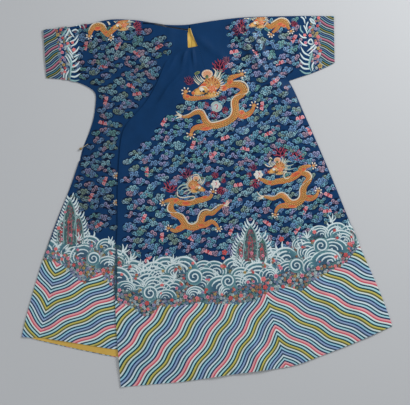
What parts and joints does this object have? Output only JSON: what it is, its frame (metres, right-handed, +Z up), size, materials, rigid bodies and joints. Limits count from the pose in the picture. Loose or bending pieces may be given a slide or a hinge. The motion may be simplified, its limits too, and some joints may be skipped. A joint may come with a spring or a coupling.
{
  "type": "chinese dragon robe",
  "caption": "Full-length embroidered silk dragon robe with short sleeves, an overlap closing to the side and a striped wave hem, laid flat on its back.",
  "frame": {"origin": "middle of the bounding box in plan, on the surface that the robe lies on", "axes": "+Z up from that surface, +Y towards the neck, +X towards the wearer's left sleeve; the robe's front faces up"},
  "size_m": [1.3597, 1.3621, 0.0124],
  "materials": {
    "blue_silk": "dark blue satin-weave silk, embroidered all over in coloured floss",
    "yellow_lining": "plain golden yellow silk",
    "button_brass": "worn gilt brass",
    "cream_cord": "cream silk cord"
  },
  "bodies": {
    "root": {"body_left": "blue_silk", "body_right": "blue_silk", "front_overlap": "blue_silk", "lining_left": "yellow_lining", "lining_right": "yellow_lining", "toggle_button": "button_brass", "toggle_cord": "cream_cord"}
  },
  "joints": []
}
